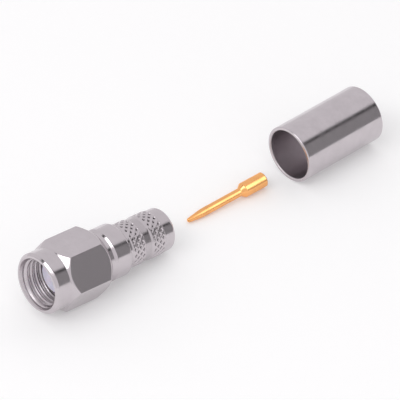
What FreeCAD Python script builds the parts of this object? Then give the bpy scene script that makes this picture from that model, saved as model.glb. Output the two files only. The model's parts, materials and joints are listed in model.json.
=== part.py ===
import FreeCAD, Part
import math
import os

# A coaxial crimp plug laid out as a set of loose parts: the plug with its coupling nut,
# the centre contact and the crimp ferrule. Millimetres. The plug is built along +X, from
# the nut's front face to the knurled neck, and then lies down on the floor at Z = 0: on the
# rear end of a flat of its nut and on the end of its thinner neck, so its rear is lower.
# The origin lies under the middle of the whole set.

# Coupling nut, lengths counted from its front face
nut_across_flats = 8.0
nut_length = 8.95
nut_collar_radius = 3.86
nut_collar_length = 2.15
nut_rim_chamfer = 0.25
nut_front_slope = 42.0
nut_rear_slope = 43.0
nut_rear_radius = 3.5
nut_rear_entry = 0.12
thread_minor_radius = 2.83
thread_length = 4.55
mouth_chamfer = 0.38
relief_depth = 0.37
relief_overlap = 0.15

# Plug body, one turned piece
contact_face_depth = 2.6
sleeve_wall = 0.245
sleeve_length = 2.7
sleeve_edge = 0.06
gasket_seat_step = 0.155
journal_radius = 2.85
nut_running_clearance = 0.05
nut_rear_gap = 0.08
step_radius = 3.12
step_length = 0.67
shoulder_radius = 3.39
shoulder_length = 2.28
shoulder_edge = 0.3
neck_radius = 2.79
neck_lead = 0.82
neck_tail = 1.86
neck_edge = 0.42
cable_bore_radius = 1.87
cable_bore_chamfer = 0.15

# Diamond knurl of the neck: two bands with a smooth ring between them
knurl_around = 20
knurl_rows = 4
knurl_row_pitch = 0.445
knurl_depth = 0.22
knurl_band_gap = 1.41
first_band_turn = 5.0
second_band_turn = -4.0

# Insulator pressed into the body
insulator_seat = 0.18
insulator_length = 7.5
contact_clearance = 0.03

# Split retaining ring that holds the nut on the body
ring_groove_depth = 0.55
ring_groove_clearance = 0.25
ring_radial_width = 0.55
ring_width = 0.55
ring_opening = 36.0
ring_setback = 1.1
ring_side_play = 0.05
ring_nut_clearance = 0.1

# Sealing ring at the root of the contact sleeve
gasket_radial_width = 0.4
gasket_thickness = 0.6

# Centre contact, lengths counted from its tip
contact_tip_radius = 0.3
contact_taper_length = 1.98
contact_shank_radius = 0.55
contact_barrel_start = 8.82
contact_barrel_radius = 0.99
contact_barrel_length = 3.28
contact_shoulder = 0.55
contact_edge = 0.1
solder_bore_radius = 0.72
solder_bore_depth = 2.9
contact_gap = 5.13
contact_side = 0.896
contact_yaw = -4.5

# Crimp ferrule
ferrule_radius = 3.8
ferrule_wall = 0.48
ferrule_length = 12.9
ferrule_edge = 0.1
ferrule_gap = 3.37
ferrule_side = -0.825

# Radii that follow from the sizes above, from the cable's bore outwards
insulator_radius = cable_bore_radius + insulator_seat
sleeve_radius = insulator_radius + sleeve_wall
gasket_seat_radius = sleeve_radius + gasket_seat_step
gasket_radius = gasket_seat_radius + gasket_radial_width
ring_groove_radius = journal_radius - ring_groove_depth
ring_inner_radius = ring_groove_radius + ring_groove_clearance
ring_outer_radius = ring_inner_radius + ring_radial_width
relief_radius = thread_minor_radius + relief_depth

# Stations along the plug's axis that follow from the sizes above
flat_height = nut_across_flats / 2
corner_radius = nut_across_flats / math.sqrt(3)
journal_front = contact_face_depth + sleeve_length
gasket_front = journal_front - gasket_thickness
step_front = nut_length + nut_rear_gap
step_rear = step_front + step_length
shoulder_ramp = shoulder_radius - step_radius
shoulder_rear = step_rear + shoulder_ramp + shoulder_length
band_length = knurl_rows * knurl_row_pitch
first_band = shoulder_rear + neck_lead
first_band_end = first_band + band_length
second_band = first_band_end + knurl_band_gap
second_band_end = second_band + band_length
neck_end = second_band_end + neck_tail
insulator_rear = contact_face_depth + insulator_length
contact_length = contact_barrel_start + contact_barrel_length
contact_tip_x = neck_end + contact_gap
ferrule_x = contact_tip_x + contact_length + ferrule_gap + ferrule_length / 2

# The lying plug: its nut's flat touches the floor at its rear end, its neck at the end
flat_rear = nut_length - (flat_height - nut_rear_radius) / math.tan(math.radians(nut_rear_slope))
neck_rest = neck_end - neck_edge
plug_lean = math.atan2(flat_height - neck_radius, neck_rest - flat_rear)
front_height = flat_height * math.cos(plug_lean) + flat_rear * math.sin(plug_lean)

origin = FreeCAD.Vector(0, 0, 0)
along = FreeCAD.Vector(1, 0, 0)


def in_profile(point):
    """Place an (x, radius) point in the plane that is turned about the X axis."""
    return FreeCAD.Vector(point[0], 0, point[1])


def turned(points):
    """Solid of revolution about the X axis from an outline of points in order.

    A point is (x, radius). A pair of points is an arc through the first to the second."""
    edges = []
    here = in_profile(points[0])
    for item in points[1:] + points[:1]:
        if isinstance(item[0], tuple):
            there = in_profile(item[1])
            edges.append(Part.Arc(here, in_profile(item[0]), there).toShape())
        else:
            there = in_profile(item)
            edges.append(Part.makeLine(here, there))
        here = there
    return Part.Face(Part.Wire(edges)).revolve(origin, along, 360)


def rod(radius, start, end):
    """Plain cylinder along X between two stations."""
    return Part.makeCylinder(radius, end - start, FreeCAD.Vector(start, 0, 0), along)


def rounded_edge(x_end, radius, size):
    """Outline of a quarter round, in three flats, at the rear edge of a cylinder."""
    points = []
    for step in range(4):
        angle = math.radians(30 * step)
        x = x_end - size + size * math.sin(angle)
        points.append((x, radius - size + size * math.cos(angle)))
    return points


def knurl_band(start, turn):
    """Closed band of diamond pits, whose ridges are as tall as the smooth neck beside it.

    Every row holds pits and crossings of ridges in turn, and the next row is shifted by one,
    so that the ridges run as crossed helices and each pit has four sides."""
    count = 2 * knurl_around
    levels = [start]
    for row in range(knurl_rows):
        levels.append(start + (row + 0.5) * knurl_row_pitch)
    levels.append(start + band_length)
    rows = []
    for number, x in enumerate(levels):
        inner_row = 0 < number <= knurl_rows
        ring = []
        for k in range(count):
            is_pit = inner_row and (k + number) % 2 == 0
            radius = neck_radius - knurl_depth if is_pit else neck_radius
            angle = math.radians(turn) + 2 * math.pi * k / count
            ring.append(FreeCAD.Vector(x, radius * math.cos(angle), radius * math.sin(angle)))
        rows.append(ring)
    faces = []
    for number in range(len(rows) - 1):
        near = rows[number]
        far = rows[number + 1]
        for k in range(count):
            n = (k + 1) % count
            starts_on_ridge = (k + number) % 2 == 1
            if starts_on_ridge:
                corners = [(near[k], near[n], far[n]), (near[k], far[n], far[k])]
            else:
                corners = [(near[k], near[n], far[k]), (near[n], far[n], far[k])]
            for a, b, c in corners:
                faces.append(Part.Face(Part.makePolygon([a, b, c, a])))
    for ring in (rows[0], rows[-1]):
        faces.append(Part.Face(Part.makePolygon(ring + ring[:1])))
    return Part.makeSolid(Part.makeShell(faces))


def make_nut():
    """Hexagon with a round front collar, chamfered corners and a stepped bore."""
    reach = corner_radius + 0.5
    front_run = (reach - nut_collar_radius) / math.tan(math.radians(nut_front_slope))
    rear_run = (reach - nut_rear_radius) / math.tan(math.radians(nut_rear_slope))
    outer = turned([
        (0, 0),
        (0, nut_collar_radius - nut_rim_chamfer),
        (nut_rim_chamfer, nut_collar_radius),
        (nut_collar_length, nut_collar_radius),
        (nut_collar_length + front_run, reach),
        (nut_length - rear_run, reach),
        (nut_length, nut_rear_radius),
        (nut_length, 0),
    ])
    corners = []
    for k in range(6):
        angle = math.radians(60 * k)
        y = corner_radius * math.cos(angle)
        z = corner_radius * math.sin(angle)
        corners.append(FreeCAD.Vector(0, y, z))
    hexagon = Part.Face(Part.makePolygon(corners + corners[:1])).extrude(along * nut_length)
    bore_radius = journal_radius + nut_running_clearance
    relief_end = journal_front + relief_overlap
    ring_rear = nut_length - ring_setback
    ring_front = ring_rear - ring_width
    groove_radius = ring_outer_radius + ring_nut_clearance
    groove_front = ring_front - ring_nut_clearance
    groove_rear = ring_rear + ring_nut_clearance
    bore = turned([
        (-1, 0),
        (-1, thread_minor_radius + mouth_chamfer + 1),
        (mouth_chamfer, thread_minor_radius),
        (thread_length, thread_minor_radius),
        (thread_length + relief_radius - thread_minor_radius, relief_radius),
        (relief_end, relief_radius),
        (relief_end, bore_radius),
        (groove_front, bore_radius),
        (groove_front, groove_radius),
        (groove_rear, groove_radius),
        (groove_rear, bore_radius),
        (nut_length - nut_rear_entry, bore_radius),
        (nut_length + 1, bore_radius + nut_rear_entry + 1),
        (nut_length + 1, 0),
    ])
    return outer.common(hexagon).cut(bore)


def make_body():
    """Contact sleeve, nut journal, shoulder and knurled crimp neck, bored right through."""
    ring_rear = nut_length - ring_setback
    groove_front = ring_rear - ring_width - ring_side_play
    front = [
        (contact_face_depth, 0),
        (contact_face_depth, sleeve_radius - sleeve_edge),
        (contact_face_depth + sleeve_edge, sleeve_radius),
        (gasket_front, sleeve_radius),
        (gasket_front, gasket_seat_radius),
        (journal_front, gasket_seat_radius),
        (journal_front, journal_radius),
        (groove_front, journal_radius),
        (groove_front, ring_groove_radius),
        (ring_rear, ring_groove_radius),
        (ring_rear, journal_radius),
        (step_front, journal_radius),
        (step_front, step_radius),
        (step_rear, step_radius),
        (step_rear + shoulder_ramp, shoulder_radius),
    ]
    shoulder = rounded_edge(shoulder_rear, shoulder_radius, shoulder_edge)
    lead = [
        (shoulder_rear, neck_radius),
        (first_band, neck_radius),
        (first_band, 0),
    ]
    body = turned(front + shoulder + lead)
    body = body.fuse(knurl_band(first_band, first_band_turn))
    body = body.fuse(rod(neck_radius, first_band_end, second_band))
    body = body.fuse(knurl_band(second_band, second_band_turn))
    tail = rounded_edge(neck_end, neck_radius, neck_edge)
    tail = [(second_band_end, 0), (second_band_end, neck_radius)] + tail + [(neck_end, 0)]
    body = body.fuse(turned(tail))
    bore = turned([
        (contact_face_depth - 1, 0),
        (contact_face_depth - 1, insulator_radius),
        (insulator_rear, insulator_radius),
        (insulator_rear, cable_bore_radius),
        (neck_end - cable_bore_chamfer, cable_bore_radius),
        (neck_end + 1, cable_bore_radius + cable_bore_chamfer + 1),
        (neck_end + 1, 0),
    ])
    return body.cut(bore)


def make_insulator():
    """Plain bead with a hole for the centre contact's shank."""
    hole = contact_shank_radius + contact_clearance
    bead = rod(insulator_radius, contact_face_depth, insulator_rear)
    return bead.cut(rod(hole, contact_face_depth - 1, insulator_rear + 1))


def make_retaining_ring():
    """Split flat ring that sits in the body's groove against its rear wall."""
    ring_rear = nut_length - ring_setback
    ring_front = ring_rear - ring_width
    ring = turned([
        (ring_front, ring_inner_radius),
        (ring_front, ring_outer_radius),
        (ring_rear, ring_outer_radius),
        (ring_rear, ring_inner_radius),
    ])
    half = math.radians(ring_opening / 2)
    reach = 2 * ring_outer_radius
    wedge = Part.Face(Part.makePolygon([
        FreeCAD.Vector(ring_front - 1, 0, 0),
        FreeCAD.Vector(ring_front - 1, reach * math.sin(half), reach * math.cos(half)),
        FreeCAD.Vector(ring_front - 1, -reach * math.sin(half), reach * math.cos(half)),
        FreeCAD.Vector(ring_front - 1, 0, 0),
    ])).extrude(along * (ring_width + 2))
    return ring.cut(wedge)


def make_gasket():
    """Soft sealing ring on the seat at the contact sleeve's root."""
    edge = gasket_thickness / 4
    return turned([
        (gasket_front, gasket_seat_radius),
        (gasket_front, gasket_radius - edge),
        (gasket_front + edge, gasket_radius),
        (journal_front - edge, gasket_radius),
        (journal_front, gasket_radius - edge),
        (journal_front, gasket_seat_radius),
    ])


def make_contact():
    """Pointed pin with a fatter rear barrel that takes the cable's centre wire."""
    half_way = contact_tip_radius * math.sqrt(0.5)
    tip_middle = (contact_tip_radius - half_way, half_way)
    pin = turned([
        (0, 0),
        (tip_middle, (contact_tip_radius, contact_tip_radius)),
        (contact_tip_radius + contact_taper_length, contact_shank_radius),
        (contact_barrel_start - contact_shoulder, contact_shank_radius),
        (contact_barrel_start, contact_barrel_radius),
        (contact_length - contact_edge, contact_barrel_radius),
        (contact_length, contact_barrel_radius - contact_edge),
        (contact_length, 0),
    ])
    bore_floor = contact_length - solder_bore_depth
    pin = pin.cut(turned([
        (bore_floor - solder_bore_radius / 2, 0),
        (bore_floor, solder_bore_radius),
        (contact_length - contact_edge, solder_bore_radius),
        (contact_length + 1, solder_bore_radius + contact_edge + 1),
        (contact_length + 1, 0),
    ]))
    # It lies on the front edges of its shank and of its barrel.
    taper_end = contact_tip_radius + contact_taper_length
    rise = contact_barrel_radius - contact_shank_radius
    tilt = math.atan2(rise, contact_barrel_start - taper_end)
    pin.translate(FreeCAD.Vector(-taper_end, 0, 0))
    pin.rotate(origin, FreeCAD.Vector(0, 1, 0), -math.degrees(tilt))
    pin.rotate(origin, FreeCAD.Vector(0, 0, 1), contact_yaw)
    height = contact_shank_radius * math.cos(tilt)
    pin.translate(FreeCAD.Vector(contact_tip_x + taper_end, contact_side, height))
    return pin


def make_ferrule():
    """Plain thin tube with eased edges."""
    half = ferrule_length / 2
    inner = ferrule_radius - ferrule_wall
    tube = turned([
        (-half, inner + ferrule_edge),
        (-half, ferrule_radius - ferrule_edge),
        (-half + ferrule_edge, ferrule_radius),
        (half - ferrule_edge, ferrule_radius),
        (half, ferrule_radius - ferrule_edge),
        (half, inner + ferrule_edge),
        (half - ferrule_edge, inner),
        (-half + ferrule_edge, inner),
    ])
    tube.translate(FreeCAD.Vector(ferrule_x, ferrule_side, ferrule_radius))
    return tube


def main():
    """Build every piece and write one file for each."""
    plug_pieces = {
        "coupling_nut": make_nut(),
        "plug_body": make_body(),
        "insulator": make_insulator(),
        "retaining_ring": make_retaining_ring(),
        "gasket": make_gasket(),
    }
    for shape in plug_pieces.values():
        shape.rotate(origin, FreeCAD.Vector(0, 1, 0), math.degrees(plug_lean))
        shape.translate(FreeCAD.Vector(0, 0, front_height))
    pieces = dict(plug_pieces)
    pieces["contact_pin"] = make_contact()
    pieces["crimp_ferrule"] = make_ferrule()
    whole = Part.makeCompound(list(pieces.values())).BoundBox
    to_origin = FreeCAD.Vector(-whole.Center.x, -whole.Center.y, 0)
    print("shift", to_origin, "lean", math.degrees(plug_lean), "height", front_height)
    os.makedirs("parts", exist_ok=True)
    for node, shape in pieces.items():
        shape.translate(to_origin)
        if not shape.isValid() or len(shape.Solids) != 1:
            raise ValueError(node + " is not one sound solid")
        solid = shape.Solids[0]
        solid.exportStep("parts/" + node + ".step")
        print(node, round(solid.Volume, 3), [round(v, 3) for v in solid.CenterOfMass])


main()
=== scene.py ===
import json
import math

import bmesh
import bpy
import numpy as np
from bpy.props import FloatProperty, FloatVectorProperty, IntProperty, PointerProperty
from mathutils import Matrix, Vector


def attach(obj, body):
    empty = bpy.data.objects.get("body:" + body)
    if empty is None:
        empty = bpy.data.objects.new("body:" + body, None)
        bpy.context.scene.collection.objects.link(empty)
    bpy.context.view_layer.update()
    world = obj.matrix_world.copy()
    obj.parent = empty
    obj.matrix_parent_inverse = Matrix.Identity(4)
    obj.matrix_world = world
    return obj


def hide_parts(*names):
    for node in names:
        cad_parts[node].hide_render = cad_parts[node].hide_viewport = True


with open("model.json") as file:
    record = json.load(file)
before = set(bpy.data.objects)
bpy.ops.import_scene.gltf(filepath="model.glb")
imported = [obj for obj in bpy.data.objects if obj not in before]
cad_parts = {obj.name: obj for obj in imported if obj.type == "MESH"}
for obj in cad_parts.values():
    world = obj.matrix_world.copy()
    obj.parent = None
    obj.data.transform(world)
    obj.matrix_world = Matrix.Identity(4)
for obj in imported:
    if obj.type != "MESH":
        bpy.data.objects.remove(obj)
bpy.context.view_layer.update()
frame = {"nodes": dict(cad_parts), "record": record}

bl_info = {
    "name": "Coaxial Crimp Plug Set",
    "version": (1, 0, 0),
    "blender": (4, 5, 0),
    "location": "3D View > Sidebar > Crimp Plug",
    "description": "Dresses a coaxial crimp plug, its loose centre contact and its crimp ferrule",
    "category": "Add Mesh",
}

MM = 0.001

# Limits in millimetres for a hollow that is open all along a piece, or right to its axis
ALL_ALONG = (-1, 20)
TO_THE_AXIS = (0.1, 0.0)


# Sizes and colours that a user would change


def length(name, size, text):
    """A length property. The size is written in millimetres and kept in metres."""
    return FloatProperty(name=name, description=text, default=size * MM, unit="LENGTH",
                         precision=6, step=1)


def angle(name, degrees, text):
    """An angle property, written in degrees and kept in radians."""
    return FloatProperty(name=name, description=text, default=math.radians(degrees),
                         subtype="ANGLE", unit="ROTATION")


def count(name, number, text):
    """A whole number of at least one."""
    return IntProperty(name=name, description=text, default=number, min=1)


def share(name, value, text):
    """A number from nothing to one."""
    return FloatProperty(name=name, description=text, default=value, min=0, max=1,
                         subtype="FACTOR")


def colour(name, rgb, text):
    """A linear colour."""
    return FloatVectorProperty(name=name, description=text, default=rgb, min=0, max=1,
                               size=3, subtype="COLOR")


class NutSizes(bpy.types.PropertyGroup):
    """Sizes of the coupling nut, counted from its front face."""

    across_flats: length("Across Flats", 8.0, "Width of the hexagon between two flats")
    total: length("Length", 8.95, "From the front face to the rear face")
    collar_radius: length("Collar Radius", 3.86, "Radius of the round front collar")
    collar_length: length("Collar Length", 2.15, "Length of the round front collar")
    rim_chamfer: length("Rim Chamfer", 0.31, "Bevel between the front face and the collar")
    rim_round: length("Rim Round", 0.05, "Rounding where the bevel leaves the front face")
    collar_round: length("Collar Round", 0.06, "Rounding where the bevel reaches the collar")
    collar_foot: length("Collar Foot", 0.04, "Rounding where the collar meets the hexagon")
    front_slope: angle("Front Slope", 42, "Slope of the bevel on the hexagon's front corners")
    rear_slope: angle("Rear Slope", 43, "Slope of the bevel on the hexagon's rear corners")
    bevel_round: length("Bevel Round", 0.09, "Rounding between the bevels and the flats")
    rear_radius: length("Rear Radius", 3.5, "Radius of the flat ring at the rear")
    rear_round: length("Rear Round", 0.06, "Rounding at the rim of the rear ring")
    corner_round: length("Corner Round", 0.15, "Rounding along the hexagon's six corners")
    bore_radius: length("Bore Radius", 2.9, "Radius of the plain bore on the journal")
    bore_entry: length("Bore Entry", 0.12, "Bevel at the rear end of the plain bore")
    inner_edge: length("Inner Edge", 0.03, "Easing of the edges inside the nut")
    groove_radius: length("Groove Radius", 3.2, "Floor of the retaining ring's groove")
    groove_front: length("Groove Front", 7.2, "Front wall of the retaining ring's groove")
    groove_rear: length("Groove Rear", 7.95, "Rear wall of the retaining ring's groove")
    relief_end: length("Relief End", 5.45, "Where the undercut behind the thread ends")
    thread_minor: length("Thread Minor", 2.83, "Inner radius of the thread's crests")
    thread_major: length("Thread Major", 3.2, "Outer radius of the thread's roots")
    thread_pitch: length("Thread Pitch", 0.7056, "Way forward for one turn of the thread")
    thread_length: length("Thread Length", 4.55, "From the front face to the thread's end")
    mouth_radius: length("Mouth Radius", 3.3, "Radius of the tapered mouth at the front face")
    mouth_length: length("Mouth Length", 1.05, "Length of the taper into the thread")


class BodySizes(bpy.types.PropertyGroup):
    """Sizes of the turned plug body, counted from the nut's front face."""

    sleeve_front: length("Sleeve Front", 2.6, "Front end of the contact sleeve")
    sleeve_radius: length("Sleeve Radius", 2.295, "Outside of the contact sleeve")
    seat_front: length("Gasket Seat Front", 4.7, "Front of the gasket's seat")
    seat_radius: length("Gasket Seat Radius", 2.45, "Radius of the gasket's seat")
    journal_front: length("Journal Front", 5.3, "Front of the nut's journal")
    journal_radius: length("Journal Radius", 2.85, "Radius of the nut's journal")
    groove_front: length("Groove Front", 7.25, "Front wall of the retaining ring's groove")
    groove_rear: length("Groove Rear", 7.85, "Rear wall of the retaining ring's groove")
    groove_radius: length("Groove Radius", 2.3, "Floor of the retaining ring's groove")
    step_front: length("Step Front", 9.03, "Front face of the step behind the nut")
    step_radius: length("Step Radius", 3.12, "Radius of the step behind the nut")
    step_rear: length("Step Rear", 9.7, "Where the bevel up to the shoulder starts")
    shoulder_front: length("Shoulder Front", 9.97, "Where the shoulder is full")
    shoulder_radius: length("Shoulder Radius", 3.39, "Radius of the plain shoulder")
    shoulder_rear: length("Shoulder Rear", 12.25, "Rear face of the shoulder")
    shoulder_round: length("Shoulder Round", 0.18, "Rounding of the shoulder's rear edge")
    neck_fillet: length("Neck Fillet", 0.08, "Fillet between the shoulder and the neck")
    edge: length("Edge", 0.04, "Easing of the other turned edges")
    neck_radius: length("Neck Radius", 2.79, "Radius of the crimp neck")
    first_band: length("First Band", 13.07, "Where the front knurled band starts")
    second_band: length("Second Band", 16.26, "Where the rear knurled band starts")
    row_pitch: length("Knurl Row Pitch", 0.445, "Distance between two rows of pits")
    rows: count("Knurl Rows", 4, "Rows of pits in each band")
    around: count("Knurl Pits Around", 20, "Pits in each row")
    knurl_depth: length("Knurl Depth", 0.3, "Depth of a pit where it is deepest")
    pit_wall: share("Pit Wall", 0.8, "Share of the depth that lies in a pit's steep walls")
    skew: share("Pit Skew", 0.15, "How much longer a pit is along one slant than the other")
    uneven: share("Uneven Share", 0.2, "Share of the depth that comes and goes round the neck")
    deepest: angle("Deepest Side", 50, "Where round the neck the pits are deepest")
    band_rise: length("Band Rise", 0.09, "How far a band's ridges stand above the smooth neck")
    first_lead: length("First Band Lead", 0.2, "Length of the slope before the front band")
    second_lead: length("Second Band Lead", 0.4, "Length of the slope before the rear band")
    band_end: length("Band End", 0.15, "Length of the slope behind each band")
    first_turn: angle("First Band Turn", 5, "How far the front band's pits are turned")
    second_turn: angle("Second Band Turn", -4, "How far the rear band's pits are turned")
    neck_end: length("Neck End", 19.9, "Rear end of the neck")
    tail_round: length("Tail Round", 0.5, "Rounding at the rear end of the neck")
    bore_radius: length("Cable Bore Radius", 1.87, "Radius of the cable's bore")
    bore_mouth: length("Cable Bore Mouth", 0.15, "Bevel at the mouth of the cable's bore")
    bead_radius: length("Bead Seat Radius", 2.05, "Radius of the insulator's seat")
    bead_rear: length("Bead Seat Rear", 10.1, "Rear end of the insulator's seat")


class ContactSizes(bpy.types.PropertyGroup):
    """Sizes of the loose centre contact, counted from its tip."""

    tip_radius: length("Tip Radius", 0.3, "Rounding of the pointed end")
    taper_end: length("Taper End", 2.28, "Where the plain shank starts")
    taper_round: length("Taper Round", 0.4, "Rounding between the taper and the shank")
    shank_radius: length("Shank Radius", 0.55, "Radius of the plain shank")
    shank_end: length("Shank End", 8.27, "Where the bevel up to the barrel starts")
    shank_foot: length("Shank Foot", 0.06, "Rounding between the shank and that bevel")
    barrel_start: length("Barrel Start", 8.82, "Where the barrel is full")
    barrel_round: length("Barrel Round", 0.1, "Rounding between that bevel and the barrel")
    barrel_radius: length("Barrel Radius", 0.99, "Radius of the solder barrel")
    total: length("Length", 12.1, "From the tip to the barrel's rear end")
    edge: length("Edge", 0.1, "Bevels at the barrel's rear end")
    edge_round: length("Edge Round", 0.04, "Rounding of the outer bevel")
    bore_round: length("Bore Round", 0.03, "Rounding of the bore's edges")
    bore_radius: length("Solder Bore Radius", 0.72, "Radius of the bore for the wire")
    bore_depth: length("Solder Bore Depth", 2.9, "Depth of the bore for the wire")


class FerruleSizes(bpy.types.PropertyGroup):
    """Sizes of the loose crimp ferrule."""

    radius: length("Radius", 3.8, "Outer radius of the tube")
    wall: length("Wall", 0.48, "Thickness of the tube's wall")
    total: length("Length", 12.9, "Length of the tube")
    edge: length("Edge", 0.1, "Bevels at the tube's edges")
    edge_round: length("Edge Round", 0.05, "Rounding of those bevels")


class Finishes(bpy.types.PropertyGroup):
    """Colours and gloss of the set's surfaces."""

    nickel: colour("Nickel", (0.60, 0.555, 0.58), "Bright nickel plate")
    nickel_roughness: share("Nickel Roughness", 0.13, "Gloss of the nickel plate")
    gold: colour("Gold", (1.0, 0.5, 0.19), "Gold plate of the centre contact")
    gold_roughness: share("Gold Roughness", 0.2, "Gloss of the gold plate")
    bead: colour("Insulator", (0.88, 0.84, 0.98), "Milky white insulator")
    bronze: colour("Ring Bronze", (0.62, 0.42, 0.24), "Spring bronze of the retaining ring")
    bronze_roughness: share("Bronze Roughness", 0.3, "Gloss of the spring bronze")
    # Painted shade: the plate's colour is darkened in the knurl's pits to stand in for their
    # shade.
    pit_painted_shade: share("Pit Loss", 0.85, "Share of the plate's colour that is lost in the pits")
    pit_dull: share("Pit Dullness", 0.35, "Roughness that the plate gains in the pits")
    bore_dull: share("Bore Dullness", 0.16, "Roughness that the plate gains in the nut's bore")
    tube_dull: share("Tube Dullness", 0.2, "Roughness that the plate gains in the ferrule")
    rubber: colour("Gasket Rubber", (0.045, 0.045, 0.05), "Dark rubber of the gasket")


class StudioSettings(bpy.types.PropertyGroup):
    """Camera, floor and light."""

    camera_x: length("Camera X", -208.736, "Camera's place along the row")
    camera_y: length("Camera Y", -228.393, "Camera's place across the row")
    camera_z: length("Camera Z", 247.93, "Camera's height")
    target_x: length("Target X", 2.854, "Point that the camera looks at, along the row")
    target_y: length("Target Y", 3.487, "Point that the camera looks at, across the row")
    lens: FloatProperty(name="Lens", description="Focal length for a 36 mm sensor",
                        default=288, min=1, unit="CAMERA")
    sky: share("Room Light", 0.85, "Brightness of the pale room")
    sky_tint: colour("Room Tint", (1.0, 0.985, 1.0), "Colour of the room's light")
    floor: share("Floor", 0.86, "Paleness of the floor")
    floor_glow: share("Floor Glow", 0.21, "What brings the bare floor up to white")
    card_grey: share("Card Grey", 0.42, "Paleness of the grey card beside the set")
    card_line: share("Card Line", 0.09, "Paleness of the darker line at the card's top")
    softbox_power: FloatProperty(name="Softbox Power", description="Power of the softbox",
                                 default=0.9, min=0, unit="POWER")
    strip_power: FloatProperty(name="Strip Power", description="Power of the contact's own strip",
                               default=0.6, min=0, unit="POWER")


# Places of the pieces, from the packed record


def mount(name):
    """A mount of the record by its name."""
    for entry in frame["record"]["mounts"]:
        if entry["name"] == name:
            return entry
    raise ValueError("the record has no mount " + name)


def lying(point, axis):
    """Matrix of a lying piece: its X axis along axis, its Y axis level, its Z axis upwards."""
    ahead = Vector(axis).normalized()
    side = Vector((0, 0, 1)).cross(ahead).normalized()
    up = ahead.cross(side)
    turn = Matrix((ahead, side, up)).transposed().to_4x4()
    return Matrix.Translation(Vector(point)) @ turn


def plug_place():
    """Where the plug lies: the nut's front face centre, and its axis towards the neck."""
    joint = next(j for j in frame["record"]["behaviour"]["joints"] if j["name"] == "nut_spin")
    return lying(joint["pos_m"], joint["axis"])


def contact_place(sizes):
    """Where the contact lies. Its shank's middle is a mount, whose axis points to the tip."""
    shank = mount("contact_shank")
    back = -Vector(shank["axis"])
    middle = (sizes.taper_end + sizes.shank_end) / 2
    return lying(Vector(shank["pos_m"]) - middle * back, back)


def ferrule_place(sizes):
    """Where the ferrule lies, counted from its front end."""
    bore = mount("ferrule_bore")
    return lying(Vector(bore["pos_m"]) - Vector(bore["axis"]) * sizes.total / 2, bore["axis"])


# Surfaces


def eased(corners, ease, bends=2):
    """Rows of a profile whose corners are rounded.

    corners has the shape (corners, columns, 2) and holds x and radius. At each inner corner a
    parabola runs from the point at distance e before it to the one at distance e behind it:
    (1 - t)^2 before + 2 t (1 - t) corner + t^2 behind. One more row at distance 1.6 e on each
    side holds the flats flat. e never takes more than 0.3 of the shorter neighbouring stretch.
    The first and the last corner stay as they are."""
    most = 0.3
    hold = 1.6
    before = corners[:-2] - corners[1:-1]
    behind = corners[2:] - corners[1:-1]
    before_length = np.linalg.norm(before, axis=2, keepdims=True)
    behind_length = np.linalg.norm(behind, axis=2, keepdims=True)
    before = before / before_length
    behind = behind / behind_length
    e = np.asarray(ease, dtype=float)[:, None, None]
    e = np.minimum(e, most * np.minimum(before_length, behind_length))
    here = corners[1:-1]
    rows = [here + hold * e * before]
    for t in np.linspace(0, 1, bends + 1):
        rows.append(here + (1 - t) ** 2 * e * before + t ** 2 * e * behind)
    rows.append(here + hold * e * behind)
    middle = np.stack(rows, axis=1).reshape(-1, *corners.shape[1:])
    return np.concatenate([corners[:1], middle, corners[-1:]])


def columns_of(points, columns):
    """The same profile for every column: (points, 2) becomes (points, columns, 2)."""
    points = np.asarray(points, dtype=float)
    return np.repeat(points[:, None, :], columns, axis=1)


def wrapped(profile, turn):
    """Points of a profile carried round the X axis.

    A row and a column give x and radius r, and the column's angle T counts from +Y to +Z:
    the point is (x, r cos T, r sin T)."""
    x = profile[..., 0]
    r = profile[..., 1]
    return np.stack([x, r * np.cos(turn), r * np.sin(turn)], axis=-1)


def net(rows, columns, close_rows=False, close_columns=True):
    """Four-cornered faces between neighbouring rows and columns of a grid of points."""
    i = np.arange(rows if close_rows else rows - 1)[:, None]
    k = np.arange(columns if close_columns else columns - 1)[None, :]
    i_next = (i + 1) % rows
    k_next = (k + 1) % columns
    faces = [i * columns + k, i * columns + k_next, i_next * columns + k_next,
             i_next * columns + k]
    return np.stack(np.broadcast_arrays(*faces), axis=-1).reshape(-1, 4)


def new_piece(name, grids, place):
    """One object from one or more grids, put in its place, with doubled points merged.

    Each grid is (points, faces). Points are in the piece's own frame, in metres."""
    doubled = 0.0002 * MM
    sharp_from = math.radians(62)
    points = []
    faces = []
    first = 0
    for grid_points, grid_faces in grids:
        flat = grid_points.reshape(-1, 3)
        points.append(flat)
        faces.append(grid_faces + first)
        first += len(flat)
    points = np.concatenate(points)
    faces = np.concatenate(faces)
    spin = np.array(place.to_3x3())
    points = points @ spin.T + np.array(place.translation)
    mesh = bpy.data.meshes.new(name)
    mesh.from_pydata(points.tolist(), [], faces.tolist())
    work = bmesh.new()
    work.from_mesh(mesh)
    bmesh.ops.remove_doubles(work, verts=work.verts, dist=doubled)
    work.to_mesh(mesh)
    work.free()
    mesh.polygons.foreach_set("use_smooth", np.ones(len(mesh.polygons), dtype=bool))
    mesh.set_sharp_from_angle(angle=sharp_from)
    piece = bpy.data.objects.new(name, mesh)
    bpy.context.scene.collection.objects.link(piece)
    return piece


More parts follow.
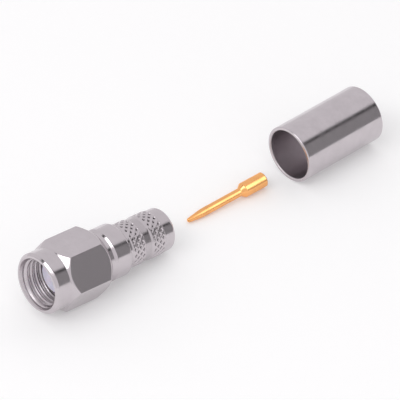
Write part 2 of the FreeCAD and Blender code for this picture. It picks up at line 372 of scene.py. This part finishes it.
def hexagon(sizes):
    """Angles and radii round the nut.

    On a flat the radius is a / cos(f), with a half the width across flats and f the angle from
    the flat's middle. Within the small round of a corner it is c cos(g) + sqrt(q^2 - c^2
    sin^2(g)), with g the angle from the corner, q the round and c its centre's distance. One
    flat faces straight up. Each side's columns run over its flat and then over its corner."""
    sides = 6
    half_side = math.pi / sides
    a = sizes.across_flats / 2
    q = sizes.corner_round
    c = (a - q) / math.cos(half_side)
    tangent = half_side - math.atan((a - q) * math.tan(half_side) / a)
    flat_reach = math.radians(28)
    flat = np.linspace(-flat_reach, flat_reach, 38)
    corner = half_side + np.linspace(-1.5, 1.5, 7) * tangent
    off_flat = np.concatenate([flat, corner])
    off_corner = off_flat - half_side
    on_flat = np.abs(off_corner) >= tangent
    to_next_flat = np.where(off_corner > 0, 2 * half_side, 0)
    flat_radius = a / np.cos(off_flat - to_next_flat)
    inside = np.clip(q ** 2 - (c * np.sin(off_corner)) ** 2, 0, None)
    round_radius = c * np.cos(off_corner) + np.sqrt(inside)
    radius = np.where(on_flat, flat_radius, round_radius)
    side_turn = math.pi / 2 + 2 * half_side * np.arange(sides)
    turn = side_turn[:, None] + off_flat[None, :]
    return turn.reshape(-1), np.tile(radius, sides)


def thread_grid(sizes, turn):
    """The nut's right-hand inner thread as a sheared grid.

    With n rows for each turn, row k lies at x = pitch (k / n + T / 2 pi) and has the radius
    middle + half depth cos(2 pi k / n), so every row follows the helix. x is held between the
    front face and the end of the thread. The tapered mouth and the bevel at the end cut in as
    the larger radius, and rows that fall together at the ends are merged."""
    pitch = sizes.thread_pitch
    low = sizes.thread_minor
    high = sizes.thread_major
    end = sizes.thread_length + high - low
    per_turn = 14
    phase = np.arange(-per_turn, per_turn * math.ceil(end / pitch) + 1) / per_turn
    around = np.append(turn - turn[0], 2 * math.pi)
    x = np.clip(pitch * (phase[:, None] + around[None, :] / (2 * math.pi)), 0, end)
    r = (high + low) / 2 + (high - low) / 2 * np.cos(2 * math.pi * phase)[:, None]
    r = np.maximum(r, sizes.mouth_radius + (low - sizes.mouth_radius) * x / sizes.mouth_length)
    r = np.maximum(r, low + x - sizes.thread_length)
    profile = np.stack([x, r], axis=-1)[::-1]
    points = wrapped(profile, around + turn[0])
    return points, net(*points.shape[:2], close_columns=False)


def knurl_depth(sizes, x, turn):
    """How deep the diamond knurl lies below the neck, at x and angle T.

    With u = N T / 2 pi + x / 2 p and v = N T / 2 pi - x / 2 p, whole numbers of u and v meet in
    the pits, and raised ridges run where u or v is a half. N is the number of pits round the
    neck and p the row pitch. du and dv are the distances to the nearest whole numbers, and w is
    the larger of (1 + skew) du and (1 - skew) dv. A pit's steep walls rise evenly from its
    floor's edge to their end at w = 0.336, and the rest of the depth as 1 - 2 w up to the
    ridges. The tool pressed unevenly: the depth comes and goes as cos(2 T) round the neck. A
    band bulges above the smooth neck as s^2 (3 - 2 s) along the slopes at its ends."""
    floor_end = 0.016
    wall_end = 0.336
    row = sizes.row_pitch
    fade = 0.12 * row
    depth = np.zeros(np.broadcast(x, turn).shape)
    pressed = 1 - sizes.uneven * (1 - np.cos(2 * (turn - sizes.deepest)))
    for start, shift, lead in ((sizes.first_band, sizes.first_turn, sizes.first_lead),
                               (sizes.second_band, sizes.second_turn, sizes.second_lead)):
        end = start + sizes.rows * row
        along = (x - start - row / 2) / (2 * row)
        around = sizes.around * ((turn - shift) / (2 * math.pi)) + 0.5
        du = around + along
        dv = around - along
        du = np.abs(du - np.round(du))
        dv = np.abs(dv - np.round(dv))
        off = np.maximum((1 + sizes.skew) * du, (1 - sizes.skew) * dv)
        wall = np.clip((wall_end - off) / (wall_end - floor_end), 0, 1)
        flank = np.clip(1 - 2 * off, 0, 1)
        pit = sizes.pit_wall * wall + (1 - sizes.pit_wall) * flank
        edge = np.clip(np.minimum(x - start, end - x) / fade, 0, 1)
        slope = np.clip(np.minimum((x - start) / lead, (end - x) / sizes.band_end) + 1, 0, 1)
        rise = slope ** 2 * (3 - 2 * slope)
        depth += sizes.knurl_depth * pressed * pit * edge - sizes.band_rise * rise
    return depth


def coupling_nut(sizes):
    """The nut: hexagon with bevelled corners, round collar, threaded and stepped bore.

    Column by column the bevel cones meet the hexagon at x = collar length + (h - collar
    radius) / tan(front slope) and x = length - (h - rear radius) / tan(rear slope), with h the
    hexagon's radius there."""
    turn, h = hexagon(sizes)
    x_front = sizes.collar_length + (h - sizes.collar_radius) / math.tan(sizes.front_slope)
    x_rear = sizes.total - (h - sizes.rear_radius) / math.tan(sizes.rear_slope)
    thread_end = sizes.thread_length + sizes.thread_major - sizes.thread_minor
    collar = columns_of([
        (0, sizes.mouth_radius),
        (0, sizes.collar_radius - sizes.rim_chamfer),
        (sizes.rim_chamfer, sizes.collar_radius),
        (sizes.collar_length, sizes.collar_radius),
    ], len(turn))
    flats = np.stack([np.stack([x_front, h], axis=-1), np.stack([x_rear, h], axis=-1)])
    bore = columns_of([
        (sizes.total, sizes.rear_radius),
        (sizes.total, sizes.bore_radius + sizes.bore_entry),
        (sizes.total - sizes.bore_entry, sizes.bore_radius),
        (sizes.groove_rear, sizes.bore_radius),
        (sizes.groove_rear, sizes.groove_radius),
        (sizes.groove_front, sizes.groove_radius),
        (sizes.groove_front, sizes.bore_radius),
        (sizes.relief_end, sizes.bore_radius),
        (sizes.relief_end, sizes.thread_major),
        (thread_end, sizes.thread_major),
    ], len(turn))
    ease = [sizes.rim_round, sizes.collar_round, sizes.collar_foot, sizes.bevel_round,
            sizes.bevel_round, sizes.rear_round] + [sizes.inner_edge] * (len(bore) - 2)
    points = wrapped(eased(np.concatenate([collar, flats, bore]), ease), turn)
    return [(points, net(*points.shape[:2])), thread_grid(sizes, turn)]


def plug_body(sizes):
    """The turned body: a closed profile carried round the axis, with the knurl cut in.

    It runs back along the neck with the bands' rows, round the neck's end as a quarter circle,
    forward through the bores and back along the outside to the neck."""
    columns_per_pit = 20
    steps_per_row = 12
    hold = 0.02 * MM
    columns = columns_per_pit * sizes.around
    turn = np.linspace(0, 2 * math.pi, columns, endpoint=False)
    band = sizes.rows * sizes.row_pitch
    steps = steps_per_row * sizes.rows
    knurled = []
    for start, lead in ((sizes.first_band, sizes.first_lead),
                        (sizes.second_band, sizes.second_lead)):
        end = start + band
        knurled += [[start - lead - hold], np.linspace(start - lead, start, 8, endpoint=False),
                    np.linspace(start, end, steps + 1),
                    np.linspace(end, end + sizes.band_end, 7)[1:],
                    [end + sizes.band_end + hold]]
    x = np.concatenate(knurled)
    neck = columns_of(np.stack([x, np.full(len(x), sizes.neck_radius)], axis=-1), columns)
    neck[..., 1] -= knurl_depth(sizes, neck[..., 0], turn[None, :])
    bend = np.radians(np.linspace(90, 0, 10))
    q = sizes.tail_round
    tail = np.stack([sizes.neck_end - q + q * np.cos(bend),
                     sizes.neck_radius - q + q * np.sin(bend)], axis=-1)
    tail = np.concatenate([tail[:1] - (hold, 0), tail])
    corners = columns_of([
        (sizes.neck_end, sizes.neck_radius - sizes.tail_round),
        (sizes.neck_end, sizes.bore_radius + sizes.bore_mouth),
        (sizes.neck_end - sizes.bore_mouth, sizes.bore_radius),
        (sizes.bead_rear, sizes.bore_radius),
        (sizes.bead_rear, sizes.bead_radius),
        (sizes.sleeve_front, sizes.bead_radius),
        (sizes.sleeve_front, sizes.sleeve_radius),
        (sizes.seat_front, sizes.sleeve_radius),
        (sizes.seat_front, sizes.seat_radius),
        (sizes.journal_front, sizes.seat_radius),
        (sizes.journal_front, sizes.journal_radius),
        (sizes.groove_front, sizes.journal_radius),
        (sizes.groove_front, sizes.groove_radius),
        (sizes.groove_rear, sizes.groove_radius),
        (sizes.groove_rear, sizes.journal_radius),
        (sizes.step_front, sizes.journal_radius),
        (sizes.step_front, sizes.step_radius),
        (sizes.step_rear, sizes.step_radius),
        (sizes.shoulder_front, sizes.shoulder_radius),
        (sizes.shoulder_rear, sizes.shoulder_radius),
        (sizes.shoulder_rear, sizes.neck_radius),
        (x[0], sizes.neck_radius),
    ], columns)
    ease = [sizes.edge] * (len(corners) - 4) + [sizes.shoulder_round, sizes.neck_fillet]
    rest = eased(corners, ease)[1:-1]
    profile = np.concatenate([neck, columns_of(tail, columns), rest])
    points = wrapped(profile, turn)
    return [(points, net(*points.shape[:2], close_rows=True))]


def centre_contact(sizes):
    """The contact: an open profile from the tip's pole to the middle of the bore's floor.

    The tip is a ball: at the angle b from its pole x = q (1 - cos b) and the radius is q sin b,
    with q the tip's radius."""
    columns = 120
    turn = np.linspace(0, 2 * math.pi, columns, endpoint=False)
    bend = np.radians(np.linspace(0, 80, 9))
    ball = sizes.tip_radius * np.stack([1 - np.cos(bend), np.sin(bend)], axis=-1)
    bore_floor = sizes.total - sizes.bore_depth
    corners = columns_of([
        ball[-1],
        (sizes.taper_end, sizes.shank_radius),
        (sizes.shank_end, sizes.shank_radius),
        (sizes.barrel_start, sizes.barrel_radius),
        (sizes.total - sizes.edge, sizes.barrel_radius),
        (sizes.total, sizes.barrel_radius - sizes.edge),
        (sizes.total, sizes.bore_radius + sizes.edge),
        (sizes.total - sizes.edge, sizes.bore_radius),
        (bore_floor, sizes.bore_radius),
        (bore_floor - sizes.bore_radius / 2, 0),
    ], columns)
    ease = [sizes.taper_round, sizes.shank_foot, sizes.barrel_round, sizes.edge_round,
            sizes.edge_round, sizes.bore_round, sizes.bore_round, sizes.bore_round]
    profile = np.concatenate([columns_of(ball[:-1], columns), eased(corners, ease, bends=3)])
    points = wrapped(profile, turn)
    return [(points, net(*points.shape[:2]))]


def crimp_ferrule(sizes):
    """The ferrule: a thin tube, a closed profile of eight corners, all eased."""
    columns = 240
    turn = np.linspace(0, 2 * math.pi, columns, endpoint=False)
    inner = sizes.radius - sizes.wall
    outer = sizes.radius
    e = sizes.edge
    corners = columns_of([
        (sizes.total / 2, outer),
        (sizes.total - e, outer),
        (sizes.total, outer - e),
        (sizes.total, inner + e),
        (sizes.total - e, inner),
        (e, inner),
        (0, inner + e),
        (0, outer - e),
        (e, outer),
        (sizes.total / 2, outer),
    ], columns)
    profile = eased(corners, [sizes.edge_round] * (len(corners) - 2))[:-1]
    points = wrapped(profile, turn)
    return [(points, net(*points.shape[:2], close_rows=True))]


# Finishes


def add_node(tree, kind, links=None, settings=None, **inputs):
    """One node: inputs by name or number, links as input to output socket."""
    node = tree.nodes.new(kind)
    for key, value in (settings or {}).items():
        setattr(node, key, value)
    for key, value in inputs.items():
        node.inputs[key.replace("_", " ")].default_value = value
    for key, socket in (links or {}).items():
        tree.links.new(socket, node.inputs[key])
    return node


def new_material(name):
    """A material with an empty Principled surface, and its tree and shader."""
    material = bpy.data.materials.new(name)
    material.use_nodes = True
    shader = material.node_tree.nodes["Principled BSDF"]
    return material, material.node_tree, shader


def own_millimetres(tree, place):
    """Coordinates in millimetres along the piece's own axis, from Object coordinates."""
    spot = add_node(tree, "ShaderNodeTexCoord")
    turned = add_node(tree, "ShaderNodeMapping", {"Vector": spot.outputs["Object"]},
                      {"vector_type": "TEXTURE"}, Location=place.translation,
                      Rotation=place.to_euler(), Scale=(MM, MM, MM))
    return turned.outputs["Vector"]


def stretched(tree, vector, scale):
    """The same coordinates with each direction scaled, for marks that run one way.

    A direction scaled by 0 is left out."""
    return add_node(tree, "ShaderNodeMapping", {"Vector": vector}, Scale=scale).outputs["Vector"]


def noise(tree, vector, scale, octaves=3.0, harshness=0.5):
    """Soft noise: the scale of its largest marks, how many finer ones, and their strength."""
    return add_node(tree, "ShaderNodeTexNoise", {"Vector": vector}, Scale=scale, Detail=octaves,
                    Roughness=harshness).outputs["Fac"]


def between(tree, value, low, high, start=0.0, end=1.0):
    """The value from start to end laid onto low to high."""
    node = add_node(tree, "ShaderNodeMapRange", {"Value": value}, From_Min=start, From_Max=end,
                    To_Min=low, To_Max=high)
    return node.outputs["Result"]


def sum_of(tree, first, second, share_of_second):
    """first plus second times a share."""
    node = add_node(tree, "ShaderNodeMath", {0: second, 2: first},
                    {"operation": "MULTIPLY_ADD"})
    node.inputs[1].default_value = share_of_second
    return node.outputs[0]


def shaded(tree, rgb, factor, amount):
    """The colour, made darker by up to amount where the factor is high, or paler if below 0."""
    mix = add_node(tree, "ShaderNodeMix", {"Factor": factor}, {"data_type": "RGBA"})
    mix.inputs["A"].default_value = (*rgb, 1)
    mix.inputs["B"].default_value = (*[c * (1 - amount) for c in rgb], 1)
    return mix.outputs["Result"]


def darkened(tree, tone, factor, amount):
    """The colour times one minus the amount where the factor is one."""
    mix = add_node(tree, "ShaderNodeMix", {"Factor": factor},
                   {"data_type": "RGBA", "blend_type": "MULTIPLY"})
    tree.links.new(tone, mix.inputs["A"])
    mix.inputs["B"].default_value = (*[1 - amount] * 3, 1)
    return mix.outputs["Result"]


def product(tree, first, second):
    """The two values multiplied."""
    return add_node(tree, "ShaderNodeMath", {0: first, 1: second},
                    {"operation": "MULTIPLY"}).outputs[0]


def recessed(tree, spot, radii, stretch):
    """One in a hollow between two places along the axis, and none outside it.

    radii are those where the hollow starts, where it is full, where it is full for the last
    time and where it ends, from the outside inwards. stretch holds the two places. All are in
    millimetres."""
    edge = 0.01
    across = stretched(tree, spot, (0, 1, 1))
    radius = add_node(tree, "ShaderNodeVectorMath", {0: across},
                      {"operation": "LENGTH"}).outputs["Value"]
    along = add_node(tree, "ShaderNodeSeparateXYZ", {"Vector": spot}).outputs["X"]
    first, last = stretch
    hollow = product(tree, between(tree, radius, 0.0, 1.0, radii[0], radii[1]),
                     between(tree, radius, 1.0, 0.0, radii[2], radii[3]))
    there = product(tree, between(tree, along, 0.0, 1.0, first - edge, first),
                    between(tree, along, 1.0, 0.0, last, last + edge))
    return product(tree, hollow, there)


def plated(name, place, rgb, roughness, marks, tint, hollow=None):
    """Bright plate over turned metal.

    Fine rings from the cutting tool, a fine grain and stray scratches lie in the bump, marks
    deep. A cloudy film and worn scratches change the gloss, and the colour by up to tint.
    Plate lies duller in bores and pits: hollow holds the radii and the stretch of one in
    millimetres, the share of colour taken there as painted shade and the roughness gained."""
    material, tree, shader = new_material(name)
    spot = own_millimetres(tree, place)
    round_axis = stretched(tree, spot, (9.0, 0.12, 0.12))
    slanting = stretched(tree, spot, (0.7, 7.0, 2.2))
    rings = noise(tree, round_axis, 1.6, octaves=4.0, harshness=0.6)
    cloud = noise(tree, spot, 0.55, octaves=4.0, harshness=0.6)
    grain = noise(tree, spot, 26.0, octaves=2.0)
    scratch = noise(tree, slanting, 2.4, octaves=5.0, harshness=0.75)
    worn = between(tree, scratch, 0.0, 1.0, start=0.62, end=0.72)
    film = between(tree, cloud, 0.0, 1.0, start=0.35, end=0.7)
    tone = shaded(tree, rgb, sum_of(tree, film, worn, 0.6), tint)
    gloss = between(tree, sum_of(tree, film, worn, 0.9), 0.8 * roughness, 1.5 * roughness)
    if hollow:
        depth = recessed(tree, spot, hollow["radii"], hollow["stretch"])
        # Painted shade: in the hollow the colour is darkened by the share held under lost.
        tone = darkened(tree, tone, depth, hollow["lost"])
        gloss = sum_of(tree, gloss, depth, hollow["gained"])
    tree.links.new(tone, shader.inputs["Base Color"])
    tree.links.new(gloss, shader.inputs["Roughness"])
    shader.inputs["Metallic"].default_value = 1
    height = sum_of(tree, sum_of(tree, rings, grain, 0.25), worn, -0.5)
    bump = add_node(tree, "ShaderNodeBump", {"Height": height}, Strength=marks, Distance=0.02 * MM)
    tree.links.new(bump.outputs["Normal"], shader.inputs["Normal"])
    return material


def milky_plastic(rgb):
    """Milky insulator: cloudy colour, fine grain, waxy gloss, and light that sinks in a little."""
    material, tree, shader = new_material("insulator_white")
    spot = own_millimetres(tree, plug_place())
    cloud = noise(tree, spot, 1.3, octaves=4.0, harshness=0.6)
    grain = noise(tree, spot, 18.0, harshness=0.6)
    cloudy = between(tree, cloud, 0.0, 1.0, start=0.35, end=0.7)
    tree.links.new(shaded(tree, rgb, cloudy, 0.1), shader.inputs["Base Color"])
    tree.links.new(between(tree, grain, 0.38, 0.55), shader.inputs["Roughness"])
    bump = add_node(tree, "ShaderNodeBump", {"Height": sum_of(tree, grain, cloud, 0.7)},
                    Strength=0.35, Distance=0.02 * MM)
    tree.links.new(bump.outputs["Normal"], shader.inputs["Normal"])
    shader.inputs["Subsurface Weight"].default_value = 0.15
    shader.inputs["Subsurface Scale"].default_value = 0.4 * MM
    return material


def soft_rubber(rgb):
    """Dark rubber: matt, with a fine grain and a paler bloom."""
    material, tree, shader = new_material("gasket_rubber")
    spot = own_millimetres(tree, plug_place())
    bloom = noise(tree, spot, 1.8, octaves=4.0, harshness=0.6)
    grain = noise(tree, spot, 22.0, harshness=0.6)
    pale = between(tree, bloom, 0.0, 1.0, start=0.4, end=0.8)
    tree.links.new(shaded(tree, rgb, pale, -1.4), shader.inputs["Base Color"])
    tree.links.new(between(tree, grain, 0.55, 0.8), shader.inputs["Roughness"])
    bump = add_node(tree, "ShaderNodeBump", {"Height": grain}, Strength=0.5, Distance=0.03 * MM)
    tree.links.new(bump.outputs["Normal"], shader.inputs["Normal"])
    return material


# Stage


def flat_sheet(name, corners):
    """A flat stage piece from four corners."""
    mesh = bpy.data.meshes.new(name)
    mesh.from_pydata(corners, [], [tuple(range(len(corners)))])
    sheet = bpy.data.objects.new(name, mesh)
    bpy.context.scene.collection.objects.link(sheet)
    return sheet


def seen_directly(tree):
    """One for rays that show the floor itself: from the camera, in metal and through glass."""
    path = add_node(tree, "ShaderNodeLightPath")
    first = add_node(tree, "ShaderNodeMath", {0: path.outputs["Is Camera Ray"],
                     1: path.outputs["Is Glossy Ray"]}, {"operation": "MAXIMUM"})
    both = add_node(tree, "ShaderNodeMath", {0: first.outputs[0],
                    1: path.outputs["Is Transmission Ray"]}, {"operation": "MAXIMUM"})
    return both.outputs[0]


def make_floor(settings):
    """A wide pale paper floor that keeps the set's shadow and renders white where bare."""
    reach = 4.0
    floor = flat_sheet("studio_floor", [(-reach, -reach, 0), (reach, -reach, 0),
                                        (reach, reach, 0), (-reach, reach, 0)])
    material, tree, shader = new_material("studio_paper")
    spot = add_node(tree, "ShaderNodeTexCoord").outputs["Object"]
    fibre = noise(tree, spot, 900.0, harshness=0.6)
    tree.links.new(shaded(tree, (settings.floor,) * 3, fibre, 0.02), shader.inputs["Base Color"])
    shader.inputs["Roughness"].default_value = 0.9
    shader.inputs["Specular IOR Level"].default_value = 0.0
    shader.inputs["Emission Color"].default_value = (1, 1, 1, 1)
    glow = add_node(tree, "ShaderNodeMath", {0: seen_directly(tree)}, {"operation": "MULTIPLY"})
    glow.inputs[1].default_value = settings.floor_glow
    tree.links.new(glow.outputs[0], shader.inputs["Emission Strength"])
    floor.data.materials.append(material)


def make_card(settings):
    """A grey card that stands beside the set and shows in the metal as its dark band.

    It stands upright beside the row, past the camera's view. Its upper right corner is cut off
    along a slanting edge, with a darker line below it: the height above the floor plus the
    slant times x is the same all along that edge, and all along each of its stripes."""
    away = 0.5
    left = 0.225
    top = 1.3
    slant = 2.36
    edge = 2.8
    corners = [(left, 0), (left, top), ((edge - top) / slant, top), (edge / slant, 0)]
    card = flat_sheet("studio_card", [Vector((x, -away, z)) for x, z in corners])
    material, tree, shader = new_material("studio_grey_card")
    spot = add_node(tree, "ShaderNodeTexCoord").outputs["Object"]
    parts = add_node(tree, "ShaderNodeSeparateXYZ", {"Vector": spot})
    slanting = sum_of(tree, parts.outputs["Z"], parts.outputs["X"], slant)
    height = between(tree, slanting, 0.0, 1.0, start=0.0, end=edge)
    ramp = add_node(tree, "ShaderNodeValToRGB", {"Fac": height})
    elements = ramp.color_ramp.elements
    grey = settings.card_grey
    line = settings.card_line
    pale = 0.75
    behind_line = 0.5 * grey + 0.1
    elements[1].position = 0.95
    elements[1].color = (pale, pale, pale, 1)
    elements[0].color = (grey, grey, grey, 1)
    for position, value in ((0.60, grey), (0.67, line), (0.76, line), (0.85, behind_line)):
        elements.new(position).color = (value, value, value, 1)
    tree.links.new(ramp.outputs["Color"], shader.inputs["Base Color"])
    shader.inputs["Roughness"].default_value = 0.9
    shader.inputs["Specular IOR Level"].default_value = 0.0
    card.data.materials.append(material)


def make_flag():
    """A black flag behind the row. Only bevels that face forward and up show it, as dark lines.

    Its corners lie away from the set across the floor, at turns counted from +X to +Y, and
    their heights are that distance times the tangent of the angle above the floor."""
    away = 0.5
    black = 0.03
    left, right = (math.radians(turn) for turn in (138, 156))
    low, high = (away * math.tan(math.radians(rise)) for rise in (40, 48.5))
    corners = ((left, low), (left, high), (right, high), (right, low))
    flag = flat_sheet("studio_flag", [Vector((away * math.cos(turn), away * math.sin(turn), z))
                                      for turn, z in corners])
    material, tree, shader = new_material("studio_black_cloth")
    spot = add_node(tree, "ShaderNodeTexCoord").outputs["Object"]
    weave = noise(tree, spot, 600.0, harshness=0.6)
    tree.links.new(shaded(tree, (black,) * 3, weave, 0.3), shader.inputs["Base Color"])
    shader.inputs["Roughness"].default_value = 0.95
    flag.data.materials.append(material)


def make_lamp(name, direction, distance, size, power, only=None):
    """A rectangular lamp that faces the set. With only given, it lights just that piece."""
    light = bpy.data.lights.new(name, "AREA")
    light.shape = "RECTANGLE"
    light.size = size[0]
    light.size_y = size[1]
    light.energy = power
    lamp = bpy.data.objects.new(name, light)
    place = Vector(direction).normalized() * distance
    lamp.location = place
    lamp.rotation_euler = place.to_track_quat("Z", "Y").to_euler()
    bpy.context.scene.collection.objects.link(lamp)
    if only:
        lit = bpy.data.collections.new(name + "_lights")
        lit.objects.link(only)
        lamp.light_linking.receiver_collection = lit


def make_room(settings):
    """A pale room that lights the set evenly."""
    world = bpy.data.worlds.new("studio_room")
    world.use_nodes = True
    tree = world.node_tree
    background = tree.nodes["Background"]
    background.inputs["Color"].default_value = (*settings.sky_tint, 1)
    background.inputs["Strength"].default_value = settings.sky
    bpy.context.scene.world = world


def make_camera(settings):
    """The camera at the photograph's place, angle and lens."""
    data = bpy.data.cameras.new("studio_camera")
    data.sensor_width = 36
    data.lens = settings.lens
    data.clip_start = 0.01
    data.clip_end = 20
    camera = bpy.data.objects.new("studio_camera", data)
    camera.location = (settings.camera_x, settings.camera_y, settings.camera_z)
    gaze = Vector((settings.target_x, settings.target_y, 0)) - camera.location
    camera.rotation_euler = gaze.to_track_quat("-Z", "Y").to_euler()
    bpy.context.scene.collection.objects.link(camera)
    bpy.context.scene.camera = camera


# Operators


class MakeCouplingNut(bpy.types.Operator):
    """Build the coupling nut, which turns on the plug."""

    bl_idname = "crimp_plug.coupling_nut"
    bl_label = "Coupling Nut"

    def execute(self, context):
        finishes = context.scene.crimp_plug_finishes
        sizes = context.scene.crimp_plug_nut
        place = plug_place()
        nut = new_piece("coupling_nut_dressed", coupling_nut(sizes), place)
        mouth = sizes.mouth_radius / MM
        bore = {"radii": (mouth + 0.15, mouth - 0.15, *TO_THE_AXIS), "stretch": ALL_ALONG,
                "lost": 0.0, "gained": finishes.bore_dull}
        nut.data.materials.append(plated("nickel_plate_nut", place, finishes.nickel,
                                         finishes.nickel_roughness, marks=0.10, tint=0.06,
                                         hollow=bore))
        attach(nut, "nut")
        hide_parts("coupling_nut")
        return {"FINISHED"}


class MakePlugBody(bpy.types.Operator):
    """Build the turned plug body with its knurled crimp neck."""

    bl_idname = "crimp_plug.plug_body"
    bl_label = "Plug Body"

    def execute(self, context):
        finishes = context.scene.crimp_plug_finishes
        sizes = context.scene.crimp_plug_body
        place = plug_place()
        body = new_piece("plug_body_dressed", plug_body(sizes), place)
        neck = sizes.neck_radius / MM
        bands_start = (sizes.first_band - sizes.first_lead) / MM
        bands_end = (sizes.second_band + sizes.rows * sizes.row_pitch) / MM
        # Painted shade in the knurl's pits: the colour is darkened there, and the plate made
        # rougher.
        pits = {"radii": (neck + 0.01, neck - 0.08, neck - 0.39, neck - 0.49),
                "stretch": (bands_start, bands_end), "lost": finishes.pit_painted_shade,
                "gained": finishes.pit_dull}
        body.data.materials.append(plated("nickel_plate_body", place, finishes.nickel,
                                          finishes.nickel_roughness, marks=0.10, tint=0.06,
                                          hollow=pits))
        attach(body, "plug")
        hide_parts("plug_body")
        return {"FINISHED"}


class DressInnerPieces(bpy.types.Operator):
    """Give the insulator, the retaining ring and the gasket their finishes."""

    bl_idname = "crimp_plug.inner_pieces"
    bl_label = "Inner Pieces"

    def execute(self, context):
        finishes = context.scene.crimp_plug_finishes
        dress = {
            "insulator": milky_plastic(finishes.bead),
            "retaining_ring": plated("spring_bronze", plug_place(), finishes.bronze,
                                     finishes.bronze_roughness, marks=0.3, tint=0.3),
            "gasket": soft_rubber(finishes.rubber),
        }
        for node, material in dress.items():
            for slot in frame["nodes"][node].material_slots:
                slot.material = material
        return {"FINISHED"}


class MakeCentreContact(bpy.types.Operator):
    """Build the loose gold centre contact."""

    bl_idname = "crimp_plug.centre_contact"
    bl_label = "Centre Contact"

    def execute(self, context):
        finishes = context.scene.crimp_plug_finishes
        sizes = context.scene.crimp_plug_contact
        place = contact_place(sizes)
        contact = new_piece("contact_pin_dressed", centre_contact(sizes), place)
        contact.data.materials.append(plated("gold_plate", place, finishes.gold,
                                             finishes.gold_roughness, marks=0.16,
                                             tint=0.14))
        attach(contact, "plug")
        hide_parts("contact_pin")
        return {"FINISHED"}


class MakeCrimpFerrule(bpy.types.Operator):
    """Build the loose crimp ferrule."""

    bl_idname = "crimp_plug.crimp_ferrule"
    bl_label = "Crimp Ferrule"

    def execute(self, context):
        finishes = context.scene.crimp_plug_finishes
        sizes = context.scene.crimp_plug_ferrule
        place = ferrule_place(sizes)
        ferrule = new_piece("crimp_ferrule_dressed", crimp_ferrule(sizes), place)
        radius = sizes.radius / MM
        inside = {"radii": (radius - 0.2, radius - 0.4, *TO_THE_AXIS), "stretch": ALL_ALONG,
                  "lost": 0.0, "gained": finishes.tube_dull}
        ferrule.data.materials.append(plated("nickel_plate_ferrule", place, finishes.nickel,
                                             finishes.nickel_roughness, marks=0.12, tint=0.08,
                                             hollow=inside))
        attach(ferrule, "plug")
        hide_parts("crimp_ferrule")
        return {"FINISHED"}


class MakeStudio(bpy.types.Operator):
    """Set up the floor, the card, the lights and the camera."""

    bl_idname = "crimp_plug.studio"
    bl_label = "Studio"

    def execute(self, context):
        settings = context.scene.crimp_plug_studio
        make_floor(settings)
        make_card(settings)
        make_flag()
        make_room(settings)
        make_lamp("softbox", direction=(-0.69, -0.03, 0.72), distance=0.7, size=(0.55, 0.2),
                  power=settings.softbox_power)
        make_lamp("contact_strip", direction=(0.37, -0.59, 0.71), distance=0.5,
                  size=(0.3, 0.34), power=settings.strip_power,
                  only=bpy.data.objects["contact_pin_dressed"])
        make_camera(settings)
        context.scene.view_settings.view_transform = "Standard"
        return {"FINISHED"}


OPERATORS = (MakeCouplingNut, MakePlugBody, DressInnerPieces, MakeCentreContact,
             MakeCrimpFerrule, MakeStudio)
GROUPS = {
    "crimp_plug_nut": NutSizes,
    "crimp_plug_body": BodySizes,
    "crimp_plug_contact": ContactSizes,
    "crimp_plug_ferrule": FerruleSizes,
    "crimp_plug_finishes": Finishes,
    "crimp_plug_studio": StudioSettings,
}


class CrimpPlugPanel(bpy.types.Panel):
    """The sizes, the finishes and one button for each piece."""

    bl_idname = "VIEW3D_PT_crimp_plug"
    bl_label = "Coaxial Crimp Plug Set"
    bl_space_type = "VIEW_3D"
    bl_region_type = "UI"
    bl_category = "Crimp Plug"

    def draw(self, context):
        for operator in OPERATORS:
            self.layout.operator(operator.bl_idname)
        for name, group in GROUPS.items():
            box = self.layout.box()
            box.label(text=group.__doc__)
            settings = getattr(context.scene, name)
            for key in group.__annotations__:
                box.prop(settings, key)


def register():
    """Register the property groups, the operators and the panel."""
    for name, group in GROUPS.items():
        bpy.utils.register_class(group)
        setattr(bpy.types.Scene, name, PointerProperty(type=group))
    for entry in OPERATORS + (CrimpPlugPanel,):
        bpy.utils.register_class(entry)


def unregister():
    """Take back what register added."""
    for entry in (CrimpPlugPanel,) + OPERATORS[::-1]:
        bpy.utils.unregister_class(entry)
    for name, group in GROUPS.items():
        delattr(bpy.types.Scene, name)
        bpy.utils.unregister_class(group)


def main():
    """Register everything and build the pieces in order."""
    register()
    bpy.ops.crimp_plug.coupling_nut()
    bpy.ops.crimp_plug.plug_body()
    bpy.ops.crimp_plug.inner_pieces()
    bpy.ops.crimp_plug.centre_contact()
    bpy.ops.crimp_plug.crimp_ferrule()
    bpy.ops.crimp_plug.studio()


if __name__ == "__main__":
    main()
